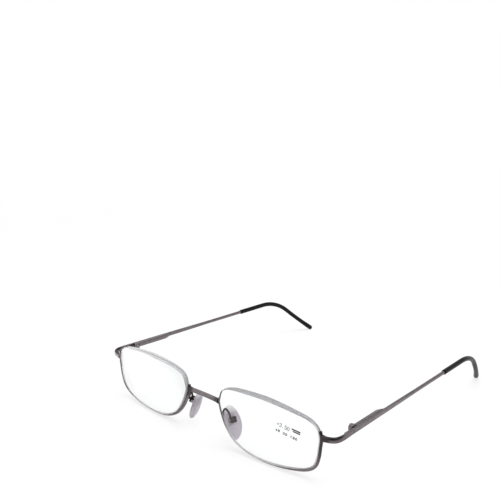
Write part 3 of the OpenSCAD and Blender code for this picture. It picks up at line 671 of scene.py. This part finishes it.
def makeTemple(side):
    # A flat bar whose section turns into a round wire between the two taper places. Rows past both ends
    # round them off: the section shrinks with cos(a) while it moves out with sin(a)
    size = templeSizes
    d = np.linspace(size["splitBack"] + size["endRound"], templeLength - size["wireStop"], size["rows"])
    place, way, sideways = templePath(d)
    flat, soft = taper(d, size["caseFront"]), taper(d, size["taperStart"])
    ring = oval(blendValues(size["barThick"], size["wire"], soft),
                blendValues(size["barHigh"], size["wire"], flat), blendValues(size["square"], 2, soft),
                size["sides"])
    a = capAngles(size)
    out, shrink = (size["endRound"] * np.sin(a))[:, None], np.cos(a)[:, None, None]
    place = np.concatenate([(place[0] - way[0] * out)[::-1], place, place[-1] + way[-1] * out])
    ring = np.concatenate([(ring[:1] * shrink)[::-1], ring, ring[-1:] * shrink])
    way, sideways = (np.pad(v, ((len(a), len(a)), (0, 0)), "edge") for v in (way, sideways))
    grid = fromHinge(carry(place, sideways, np.cross(sideways, way), ring))
    addTube("temple_bar_" + side, grid, side, size["crease"], side + "_temple", "gunmetal",
            "temple_" + side, gunmetal)


tipSizes = {
    "thick": 2.29, "bulb": 2.58, "short": 0.03, "lead": 17.7, "lip": 0.4, "lipDepth": 0.25,
    "swellLength": 9, "rows": 120, "endRows": 16, "endShare": 0.985, "crease": 40,
}


def makeTip(side):
    # A sleeve over the bent wire: a rolled lip at its front, then even, then swelling with the smooth
    # step t^2 * (3 - 2t) to a round bulb, whose cap shrinks with cos(a) while it moves out with sin(a)
    size = tipSizes
    first, last = templeSizes["straight"] - size["lead"], templeLength - size["bulb"] / 2 - size["short"]
    d = np.linspace(first, last, size["rows"])
    place, way, sideways = templePath(d)
    swell = np.clip((d - last + size["swellLength"]) / size["swellLength"], 0, 1)
    start = np.clip((d - first) / size["lip"], 0, 1)
    thick = (blendValues(size["thick"], size["bulb"], swell ** 2 * (3 - 2 * swell))
             - size["lipDepth"] * (1 - np.sqrt(1 - (1 - start) ** 2)))
    a = capAngles(size)
    place = np.concatenate([place, place[-1] + way[-1] * (np.sin(a) * size["bulb"] / 2)[:, None]])
    way, sideways = (np.pad(v, ((0, len(a)), (0, 0)), "edge") for v in (way, sideways))
    thick = np.concatenate([thick, size["bulb"] * np.cos(a)])
    ring = oval(thick, thick, 2, templeSizes["sides"])
    grid = fromHinge(carry(place, sideways, np.cross(sideways, way), ring))
    addTube("temple_tip_sleeve_" + side, grid, side, size["crease"], side + "_temple", "tip_plastic",
            "temple_tip_" + side, marked["tip_acetate_moulded"])


padSizes = {
    "x": 13.2, "y": 6.5, "drop": 9.3, "splay": 22, "flare": 18, "lean": 4, "long": 14, "wide": 8.8,
    "thick": 2.3, "back": 1, "lowShare": 0.62, "pearShare": 0.16, "firstAngle": -0.62, "fullness": 0.72,
    "rows": 34, "sides": 72, "backRows": 8, "crease": 60,
}


def turnPad(p):  # from the pad's axes to the glasses' axes
    return turn(turn(turn(p, 0, padSizes["lean"]), 1, -padSizes["flare"]), 2, -padSizes["splay"])


def fromPad(p):
    return turnPad(p) + np.array([padSizes["x"], padSizes["y"], -padSizes["drop"]])


def makePad(side):
    # Pear shaped pad: the outline is an ellipse, wider below; its size across the thickness follows
    # cos(a)^fullness from the back edge over the widest line to the crown, at the depth sin(a)
    size = padSizes
    a = np.linspace(size["firstAngle"], np.pi / 2, size["rows"])
    share = np.cos(a) ** size["fullness"]
    depth = (np.sin(a) - np.sin(a[0])) / (1 - np.sin(a[0]))
    flatBack = share[0] * np.arange(1, size["backRows"]) / size["backRows"]
    layers = np.stack([np.concatenate([flatBack * 0, depth]), np.concatenate([flatBack, share])], -1)[:-1]
    b = np.linspace(0, 2 * np.pi, size["sides"], endpoint=False)
    wide = size["wide"] / 2 * layers[:, 1:] * np.cos(b) * (1 + size["pearShare"] * np.sin(-b))
    high = size["long"] * (layers[:, 1:] * np.sin(b) / 2 + 0.5 - size["lowShare"])
    out = np.broadcast_to(-size["back"] - size["thick"] * layers[:, :1], wide.shape)
    grid = fromPad(np.stack([out, wide, high], -1))
    addTube("nose_pad_soft_" + side, grid, side, size["crease"], side + "_pad", "pad_vinyl",
            "nose_pad_" + side, marked["pad_vinyl_moulded"])


armSizes = {
    "place": 12.3, "rimShare": 0.5, "seat": 0, "gap": 0.02, "thick": 0.9, "reach": 2, "lift": 5.9,
    "endReach": 0.4, "rows": 60, "sides": 20, "boxHigh": 2.2, "boxWide": 2.6, "boxFront": 0.6,
    "boxBack": 1.5, "crease": 50,
}


def armPath():
    # Cubic curve from the back of the rim, up and over, down to the pad's box
    size = armSizes
    behind = rimSizes["deep"] / 2 + size["gap"] + size["thick"] / 2
    root = fromLens(barRoot(size) + np.array([0, behind, 0]))
    first = root + leanLens([0.0, 1, 0]) * size["reach"] + np.array([0, 0, size["lift"]])
    stop = fromPad([(size["boxBack"] - size["boxFront"]) / 2, (size["thick"] - size["boxWide"]) / 2,
                    size["boxHigh"] / 2 + size["gap"]])
    return [root, first, stop + turnPad([0, 0, size["endReach"]]), stop]


def makeArm(side):
    # A round wire carried along the arm's curve
    size = armSizes
    path, way = bezier(armPath(), np.linspace(0, 1, size["rows"]))
    sideways = unit(np.cross(way, np.cross([1.0, 0, 0], way)))
    ring = oval(size["thick"], size["thick"], 2, size["sides"])
    addTube("pad_arm_wire_" + side, carry(path, sideways, np.cross(way, sideways), ring), side,
            size["crease"], "front", "gunmetal", "pad_arm_" + side, armMetal)


# Plain numbers and bars printed on the left lens: strokes on a cell 0.57 wide and 1 high
strokes = {
    "0": [[(0.28, 1), (0.5, 0.86), (0.56, 0.5), (0.5, 0.14), (0.28, 0), (0.06, 0.14), (0, 0.5), (0.06, 0.86),
           (0.26, 1)]],
    "1": [[(0.1, 0.78), (0.32, 1), (0.32, 0)]],
    "2": [[(0.02, 0.82), (0.14, 0.98), (0.42, 0.98), (0.55, 0.8), (0.5, 0.58), (0, 0), (0.57, 0)]],
    "3": [[(0.02, 0.86), (0.16, 1), (0.42, 1), (0.55, 0.8), (0.46, 0.58), (0.26, 0.53)],
          [(0.26, 0.53), (0.48, 0.48), (0.57, 0.24), (0.42, 0), (0.14, 0), (0, 0.14)]],
    "4": [[(0.42, 0), (0.42, 1), (0, 0.3), (0.57, 0.3)]],
    "5": [[(0.52, 1), (0.08, 1), (0.04, 0.55), (0.3, 0.62), (0.55, 0.46), (0.55, 0.16), (0.38, 0), (0.14, 0),
           (0, 0.13)]],
    "9": [[(0.54, 0.72), (0.42, 0.48), (0.14, 0.48), (0.02, 0.72), (0.14, 1), (0.42, 1), (0.54, 0.72),
           (0.5, 0.35), (0.25, 0)]],
    "+": [[(0.05, 0.5), (0.55, 0.5)], [(0.3, 0.25), (0.3, 0.75)]],
    ".": [[(0.25, 0), (0.25, 0.1)]],
    "=": [[(0, 0.78), (0.57, 0.78)], [(0.12, 0.25), (0.57, 0.25)]],
}
printSizes = {"start": (7.05, 5.1), "slope": -11.5, "above": 0.012, "into": 0.002, "sharpest": 0.6,
              "crease": 30}
printLines = [
    {"text": "+3.50", "start": (0, 0), "high": 1.5, "wide": 1.0, "advance": 1.15, "stroke": 0.2},
    {"text": "=", "start": (6.6, 0.3), "high": 1.4, "wide": 3.9, "advance": 1.8, "stroke": 0.55},
    {"text": "49 20 130", "start": (0, -2.35), "high": 0.85, "wide": 1.4, "advance": 1.07, "stroke": 0.27},
]


def strokeGrid(path, width):
    # A flat ribbon on the lens's front: path + sideways * width / 2, mitred at its corners, and longer
    # by half the width at either end
    size = printSizes
    ways = unit(np.diff(path, axis=0))
    before, after = np.concatenate([ways[:1], ways]), np.concatenate([ways, ways[-1:]])
    middle = unit(before + after)
    cosine = np.maximum(np.sum(middle * before, -1, keepdims=True), size["sharpest"])
    reach = np.stack([-middle[:, 1], middle[:, 0]], -1) * width / 2 / cosine
    path[0] -= ways[0] * width / 2
    path[-1] += ways[-1] * width / 2
    slope = np.radians(size["slope"])
    slant = np.array([[np.cos(slope), np.sin(slope)], [-np.sin(slope), np.cos(slope)]])
    flat = np.stack([path - reach, path + reach, path + reach, path - reach], 1) @ slant
    flat = flat + np.array(size["start"])
    above, into = size["above"], size["into"]
    return fromLens(atDepth(flat, lensFront(flat) + np.array([-above, -above, into, into])))


def makePrint():
    # Every stroke of the text as its own ribbon, all in one mesh
    points, faces, count = [], [], 0
    for line in printLines:
        for k, letter in enumerate(line["text"]):
            for stroke in strokes.get(letter, []):
                path = np.array(stroke) * line["high"] * np.array([line["wide"], 1])
                path = path + np.array(line["start"]) + np.array([k * line["advance"], 0])
                part, partFaces = tubePoints(toTable(strokeGrid(path, line["stroke"])))
                points.append(part)
                faces += [face + count for face in partFaces]
                count += len(part)
    mesh = makeMesh("lens_print_left", np.concatenate(points), faces, printSizes["crease"])
    addPiece("lens_print_left", mesh, "front", "tip_plastic", None, marked["ink_pad_printed"])


print("stage: building pieces")
makeBridge()
makers = [makeLens, makeRim, makeLiner, makeCord, makeEndPiece, makeTemple, makeTip, makePad, makeArm]
for side in sides:
    for make in makers:
        make(side)
makePrint()

# Nodes that keep their shape get their material
keptNodes = {"hinge_plunger": "steel_ground", "plunger_nut": "steel_ground", "hinge_spring": "steel_ground",
             "pad_core": "pad_core_polycarbonate"}
for name, material in keptNodes.items():
    for side in sides:
        for slot in frame["nodes"][name + "_" + side].material_slots:
            slot.link = "OBJECT"
            slot.material = marked[material]

# Nodes whose sharp edges are rounded on a copy
softNodes = {  # the bevel's width, the slot and the material
    "hinge_leaf": (0.12, "gunmetal", gunmetal), "spring_case": (0.2, "gunmetal", gunmetal),
    "pad_box": (0.15, "gunmetal", armMetal),
    "hinge_screw": (0.06, "screw_steel", marked["steel_nickel_turned"]),
    "pad_screw": (0.05, "screw_steel", marked["steel_nickel_turned"]),
}
softSizes = {"merge": 0.001, "crease": 35, "segments": 3}


def makeSoft(name, side, width, slot, material):
    # A copy of the node with its doubled points merged; a bevel then rounds every edge past the crease
    size = softSizes
    node = frame["nodes"][name + "_" + side]
    work = bmesh.new()
    work.from_mesh(node.data)
    bmesh.ops.remove_doubles(work, verts=work.verts, dist=size["merge"] * glasses["millimetre"])
    mesh = bpy.data.meshes.new(name + "_soft_" + side)
    work.to_mesh(mesh)
    work.free()
    mesh.shade_smooth()
    mesh.set_sharp_from_angle(angle=np.radians(size["crease"]))
    piece = addPiece(mesh.name, mesh, node["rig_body"], slot, node.name, material)
    bevel = piece.modifiers.new("bevel", "BEVEL")
    bevel.width, bevel.segments = width * glasses["millimetre"], size["segments"]
    bevel.limit_method, bevel.angle_limit = "ANGLE", np.radians(size["crease"])
    bevel.harden_normals = True


for name, look in softNodes.items():
    for side in sides:
        makeSoft(name, side, *look)
print("stage: pieces built")


# Camera, as it was measured in the photograph, in the glasses' own frame
cameraSizes = {
    "place": [215.82, -202.01, 133.25], "yaw": 43.10, "pitch": 13.72, "roll": -0.10,
    "focalPixels": 763.85, "imagePixels": 500, "sensor": 36.0, "clip": (0.01, 20),
}


def placeObject(name, data, axes, place):
    # An object whose x, y and z point along three axes, at its place in metres
    thing = bpy.data.objects.new(name, data)
    bpy.context.scene.collection.objects.link(thing)
    matrix = np.eye(4)
    matrix[:3, :3] = np.transpose(axes)
    matrix[:3, 3] = place
    thing.matrix_world = Matrix(matrix)
    return thing


def makeCamera():
    # Ahead is (-sin yaw cos pitch, cos yaw cos pitch, -sin pitch); the roll then turns right and up
    size = cameraSizes
    yaw, pitch, roll = (np.radians(size[k]) for k in ("yaw", "pitch", "roll"))
    ahead = np.array([-np.sin(yaw) * np.cos(pitch), np.cos(yaw) * np.cos(pitch), -np.sin(pitch)])
    right = np.array([np.cos(yaw), np.sin(yaw), 0])
    up = np.cross(right, ahead)
    right, up = right * np.cos(roll) + up * np.sin(roll), up * np.cos(roll) - right * np.sin(roll)
    data = bpy.data.cameras.new("camera")
    data.lens = size["focalPixels"] / size["imagePixels"] * size["sensor"]
    data.sensor_width = size["sensor"]
    data.clip_start, data.clip_end = size["clip"]
    axes = turn(np.stack([right, up, -ahead]), 0, tilt)
    bpy.context.scene.camera = placeObject("camera", data, axes, toTable(np.array(size["place"])))


studio = {
    "floorSize": 3.0, "floorPoints": 9, "floorColour": "#f4f4f4", "floorShade": 0.3,
    "shadeReach": (200, 600), "skyStrength": 0.8,
    # What metal sees, as a reach and the strengths at its ends: of height, and of nearness to the corner
    "backdrop": ((0.12, 0.42), (0.8, 0.5)), "corner": ((0.55, 0.85), (1.0, 1.7)),
    "cornerWay": (-0.66, -0.24, 0.71),
    "ceiling": {"place": (0.06, 0.0, 0.8), "size": 0.55, "power": 3.4},
}
# How bright metal sees the paper, painted light in steps: an axis, the reach in mm, and what holds before
# and after it
glowSteps = {
    "plain": 0.62,
    "outer": ("X", (92, 104), 0.3, "plain"),
    "beside": ("X", (58, 64), "plain", "outer"),
    "behind": ("Y", (-30, -15), "beside", "plain"),
    "bright": ("X", (-72, -48), 4.5, "plain"),
    "before": ("Y", (-140, -108), 0.25, "bright"),
    "glow": ("Y", (-75, -70.5), "before", "behind"),
}


def anyRay(tree, *kinds):
    # 1 for rays of any of the kinds
    rays = addNode(tree, "LightPath").outputs
    either = rays[kinds[0]]
    for kind in kinds[1:]:
        either = addNode(tree, "Math", links={0: either, 1: rays[kind]}, operation="MAXIMUM")
    return either


def reflectedOnly(tree):
    # 1 for rays that a glossy surface reflects; rays bent through clear pieces count as camera rays
    rays = addNode(tree, "LightPath").outputs
    through = addNode(tree, "Math", {0: 1.0}, {1: rays["Is Transmission Ray"]}, operation="SUBTRACT")
    return addNode(tree, "Math", links={0: rays["Is Glossy Ray"], 1: through}, operation="MULTIPLY")


def makeFloor():
    # A flat sheet of white paper. Cameras and reflections see mostly its even white, and only a share
    # of the shade on it, which fades out away from the glasses
    corner = np.linspace(-0.5, 0.5, studio["floorPoints"]) * studio["floorSize"]
    x, y = np.meshgrid(corner, corner, indexing="ij")
    points = np.stack([x, y, np.full_like(x, cadBox[0][2])], -1).reshape(-1, 3)
    mesh = bpy.data.meshes.new("floor")
    mesh.from_pydata(points.tolist(), [], gridFaces(len(corner), len(corner), False).tolist())
    floor = bpy.data.objects.new("floor", mesh)
    bpy.context.scene.collection.objects.link(floor)
    material, tree, place = newMaterial("paper_white")
    mesh.materials.append(material)
    paper = addNode(tree, "BsdfDiffuse", {"Color": linear(studio["floorColour"])})
    seen = anyRay(tree, "Is Camera Ray", "Is Glossy Ray", "Is Transmission Ray")
    # Painted light, seen only in reflections: the paper is bright before the right rim, and dark further out
    # and beside the left rim
    parts = addNode(tree, "SeparateXYZ", links={0: place})
    made = {}
    for name, step in glowSteps.items():
        if isinstance(step, float):
            made[name] = step
            continue
        axis, reach, *ends = step
        settings, links = span("From", reach), {"Value": parts.outputs[axis]}
        for key, end in zip(("To Min", "To Max"), ends):
            end = made.get(end, end)
            (settings if isinstance(end, float) else links)[key] = end
        made[name] = addNode(tree, "MapRange", settings, links, interpolation_type="SMOOTHSTEP")
    glow = addNode(tree, "MapRange", {"To Min": 1.0}, {"Value": reflectedOnly(tree), "To Max": made["glow"]})
    even = addNode(tree, "Emission", links={"Strength": glow})
    distance = addNode(tree, "VectorMath", links={0: place}, operation="LENGTH").outputs["Value"]
    evenShare = addNode(tree, "MapRange", {**span("From", studio["shadeReach"]),
                        **span("To", (1 - studio["floorShade"], 1.0))}, {"Value": distance})
    share = addNode(tree, "Math", links={0: seen, 1: evenShare}, operation="MULTIPLY")
    both = addNode(tree, "MixShader", links={0: share, 1: paper, 2: even})
    addNode(tree, "OutputMaterial", links={"Surface": both})


def makeWorld():
    # White to the camera and through glass. Metal sees a white backdrop low down, a dim studio above
    # it and a brighter corner on the left. Everything else gets an even soft light
    world = bpy.data.worlds.new("studio")
    bpy.context.scene.world = world
    world.use_nodes = True
    tree = world.node_tree
    tree.nodes.clear()
    direction = addNode(tree, "TexCoord").outputs["Generated"]
    height = addNode(tree, "SeparateXYZ", links={0: direction}).outputs["Z"]
    near = addNode(tree, "VectorMath", {1: studio["cornerWay"]}, {0: direction},
                   operation="DOT_PRODUCT").outputs["Value"]
    room, corner = (
        addNode(tree, "MapRange", {**span("From", reach), **span("To", ends)}, {"Value": value},
                interpolation_type="SMOOTHSTEP")
        for value, (reach, ends) in ((height, studio["backdrop"]), (near, studio["corner"])))
    seen = addNode(tree, "Math", links={0: room, 1: corner}, operation="MULTIPLY")
    white = {"Color": (1, 1, 1, 1)}
    glossy = addNode(tree, "Background", white, {"Strength": seen})
    plain = addNode(tree, "Background", white)
    soft = addNode(tree, "Background", {**white, "Strength": studio["skyStrength"]})
    straight = anyRay(tree, "Is Camera Ray", "Is Transmission Ray")
    lit = addNode(tree, "MixShader", links={0: reflectedOnly(tree), 1: soft, 2: glossy})
    both = addNode(tree, "MixShader", links={0: straight, 1: lit, 2: plain})
    addNode(tree, "OutputWorld", links={"Surface": both})


def makeLamp(name, place, size, power):
    # A square soft box that faces the middle of the table
    data = bpy.data.lights.new(name, "AREA")
    data.shape, data.size, data.energy = "SQUARE", size, power
    ahead = unit(-np.array(place))
    right = unit(np.cross(ahead, [0.0, 0, 1]))
    placeObject(name, data, [right, np.cross(right, ahead), -ahead], place)


makeCamera()
makeFloor()
makeWorld()
makeLamp("ceiling", **studio["ceiling"])
bpy.context.scene.view_settings.view_transform = "Standard"
print("stage: studio ready")
